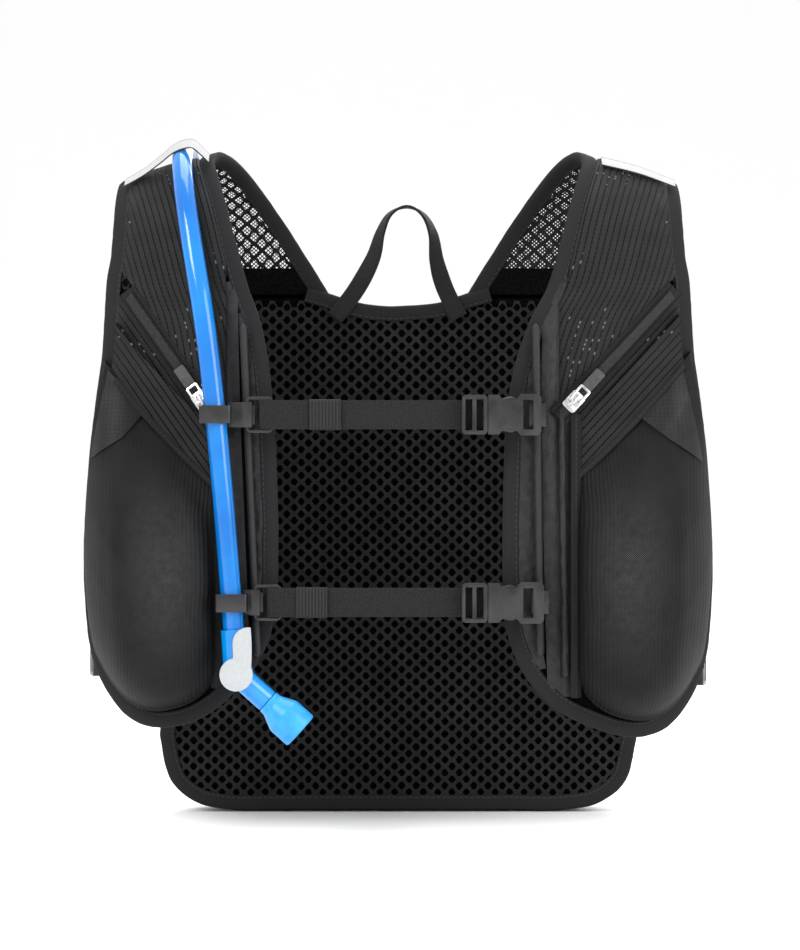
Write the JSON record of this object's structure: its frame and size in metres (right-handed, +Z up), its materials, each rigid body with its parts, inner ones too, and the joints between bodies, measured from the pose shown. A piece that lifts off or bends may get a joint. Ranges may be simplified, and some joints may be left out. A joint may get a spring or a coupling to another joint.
{
  "type": "hydration vest",
  "caption": "Running vest pack: mesh back panel and shoulder yokes, filled reservoir with hose and bite valve, flask and zip pockets, sliding chest straps with buckles.",
  "frame": {"origin": "middle of the vest's box at the foot of the pack, the flat face it stands on", "axes": "+Z up, along the vest's length; +Y from the wearer's chest to the rear of the pack; +X to the wearer's left"},
  "size_m": [0.3372, 0.2116, 0.3685],
  "materials": {
    "spacer_mesh": "open hexagonal spacer mesh, matte",
    "binding": "folded knit binding tape, matte",
    "ripstop": "light ripstop, slight sheen",
    "ribbed_fabric": "stretch fabric with dotted ribs, matte",
    "stretch_mesh": "fine stretch mesh, matte",
    "foam": "closed-cell foam sheet",
    "lining": "brushed lining, soft sheen",
    "piping": "corded piping",
    "zip_tape": "woven tape with a moulded coil",
    "zip_metal": "plated metal, satin",
    "zip_pull": "wire frame with a moulded grip",
    "webbing": "flat woven webbing",
    "label": "woven white label tape",
    "water_film": "clear film filled with water",
    "reservoir_plastic": "moulded plastic, satin",
    "hose_blue": "clear tinted tube, glossy",
    "valve_blue": "moulded plastic, glossy",
    "bite_blue": "soft silicone, satin",
    "lever_grey": "moulded plastic, satin",
    "moulded_black": "moulded acetal, satin"
  },
  "bodies": {
    "vest": {"back_binding": "binding", "back_foam": "foam", "back_panel": "spacer_mesh", "chest_pocket_left": "ribbed_fabric", "chest_pocket_right": "ribbed_fabric", "fill_port": "reservoir_plastic", "flask_pocket_left": "stretch_mesh", "flask_pocket_right": "stretch_mesh", "front_panel_left": "spacer_mesh", "front_panel_right": "spacer_mesh", "gusset_left": "lining", "gusset_right": "lining", "hose": "hose_blue", "hose_keeper": "label", "hose_port": "reservoir_plastic", "ladder_lock_left": "moulded_black", "ladder_lock_right": "moulded_black", "mouthpiece": "bite_blue", "outlet_elbow": "reservoir_plastic", "pack_shell": "ripstop", "panel_binding_left": "binding", "panel_binding_right": "binding", "pocket_flaps": "ripstop", "rear_pocket": "stretch_mesh", "rear_zip_tape": "zip_tape", "reservoir": "water_film", "shoulder_label": "label", "shoulder_yoke_left": "spacer_mesh", "shoulder_yoke_right": "spacer_mesh", "side_straps": "webbing", "strap_rail_left": "piping", "strap_rail_right": "piping", "valve_body": "valve_blue", "zip_tape_left": "zip_tape", "zip_tape_right": "zip_tape"},
    "upper_strap": {"upper_hose_clip": "moulded_black", "upper_ring": "moulded_black", "upper_webbing": "webbing", "upper_buckle_housing": "moulded_black"},
    "lower_strap": {"lower_hose_clip": "moulded_black", "lower_ring": "moulded_black", "lower_webbing": "webbing", "lower_buckle_housing": "moulded_black"},
    "upper_insert": {"upper_buckle_insert": "moulded_black"},
    "lower_insert": {"lower_buckle_insert": "moulded_black"},
    "upper_top_prong": {"upper_prong_top": "moulded_black"},
    "upper_foot_prong": {"upper_prong_foot": "moulded_black"},
    "lower_top_prong": {"lower_prong_top": "moulded_black"},
    "lower_foot_prong": {"lower_prong_foot": "moulded_black"},
    "left_slider": {"zip_slider_left": "zip_metal"},
    "left_pull": {"zip_pull_left": "zip_pull"},
    "right_slider": {"zip_slider_right": "zip_metal"},
    "right_pull": {"zip_pull_right": "zip_pull"},
    "rear_slider": {"rear_zip_slider": "zip_metal"},
    "rear_pull": {"rear_zip_pull": "zip_pull"},
    "lever": {"valve_lever": "lever_grey"},
    "cap": {"fill_cap": "reservoir_plastic"},
    "button": {"elbow_button": "reservoir_plastic"},
    "loop": {"haul_loop": "webbing"}
  },
  "joints": [
    {"name": "upper_strap_slide", "type": "slide", "parent": "vest", "child": "upper_strap", "axis": [-0.0431, 0, 0.9991], "range_m": [-0.015, 0.013]},
    {"name": "upper_buckle_slide", "type": "slide", "parent": "upper_strap", "child": "upper_insert", "axis": [-1, 0, 0], "range_m": [0, 0.016]},
    {"name": "upper_top_prong_hinge", "type": "hinge", "parent": "upper_insert", "child": "upper_top_prong", "pos_m": [0.0471, -0.085, 0.2246], "axis": [0, 1, 0], "range_deg": [0, 12.1]},
    {"name": "upper_foot_prong_hinge", "type": "hinge", "parent": "upper_insert", "child": "upper_foot_prong", "pos_m": [0.0471, -0.085, 0.2124], "axis": [0, -1, 0], "range_deg": [0, 12.1]},
    {"name": "lower_strap_slide", "type": "slide", "parent": "vest", "child": "lower_strap", "axis": [-0.0431, 0, 0.9991], "range_m": [-0.008, 0.012]},
    {"name": "lower_buckle_slide", "type": "slide", "parent": "lower_strap", "child": "lower_insert", "axis": [-1, 0, 0], "range_m": [0, 0.016]},
    {"name": "lower_top_prong_hinge", "type": "hinge", "parent": "lower_insert", "child": "lower_top_prong", "pos_m": [0.0471, -0.085, 0.1276], "axis": [0, 1, 0], "range_deg": [0, 12.1]},
    {"name": "lower_foot_prong_hinge", "type": "hinge", "parent": "lower_insert", "child": "lower_foot_prong", "pos_m": [0.0471, -0.085, 0.1154], "axis": [0, -1, 0], "range_deg": [0, 12.1]},
    {"name": "left_zip_slide", "type": "slide", "parent": "vest", "child": "left_slider", "axis": [-0.5619, 0.2622, 0.7846], "range_m": [0, 0.0623]},
    {"name": "left_pull_hinge", "type": "hinge", "parent": "left_slider", "child": "left_pull", "pos_m": [-0.10201, -0.07597, 0.22578], "axis": [-0.813, 0, -0.5823], "range_deg": [-60, 0]},
    {"name": "right_zip_slide", "type": "slide", "parent": "vest", "child": "right_slider", "axis": [0.6615, 0.2562, 0.7049], "range_m": [0, 0.0563]},
    {"name": "right_pull_hinge", "type": "hinge", "parent": "right_slider", "child": "right_pull", "pos_m": [0.09089, -0.07915, 0.22527], "axis": [-0.7292, 0, 0.6843], "range_deg": [-150, 0]},
    {"name": "rear_zip_slide", "type": "slide", "parent": "vest", "child": "rear_slider", "axis": [-1, 0, 0], "range_m": [0, 0.105]},
    {"name": "rear_pull_hinge", "type": "hinge", "parent": "rear_slider", "child": "rear_pull", "pos_m": [0.0587, 0.1012, 0.196], "axis": [0, 0, 1], "range_deg": [-150, 0]},
    {"name": "valve_lever_turn", "type": "hinge", "parent": "vest", "child": "lever", "pos_m": [-0.083, -0.0963, 0.085], "axis": [0, 1, 0], "range_deg": [0, 90]},
    {"name": "cap_twist", "type": "hinge", "parent": "vest", "child": "cap", "pos_m": [0.008, 0.0868, 0.184], "axis": [0, 1, 0], "range_deg": [0, 90]},
    {"name": "button_press", "type": "slide", "parent": "vest", "child": "button", "axis": [0, -1, 0], "range_m": [0, 0.002], "stiffness_N_per_m": 400, "springref_m": -0.0005},
    {"name": "haul_loop_fold", "type": "hinge", "parent": "vest", "child": "loop", "pos_m": [0, 0.0459, 0.272], "axis": [1, 0, 0], "range_deg": [0, 75]}
  ],
  "couplings": [
    {"joint": "upper_top_prong_hinge", "follows": "upper_buckle_slide", "rad_per_m": 13.09},
    {"joint": "upper_foot_prong_hinge", "follows": "upper_buckle_slide", "rad_per_m": 13.09},
    {"joint": "lower_top_prong_hinge", "follows": "lower_buckle_slide", "rad_per_m": 13.09},
    {"joint": "lower_foot_prong_hinge", "follows": "lower_buckle_slide", "rad_per_m": 13.09}
  ]
}
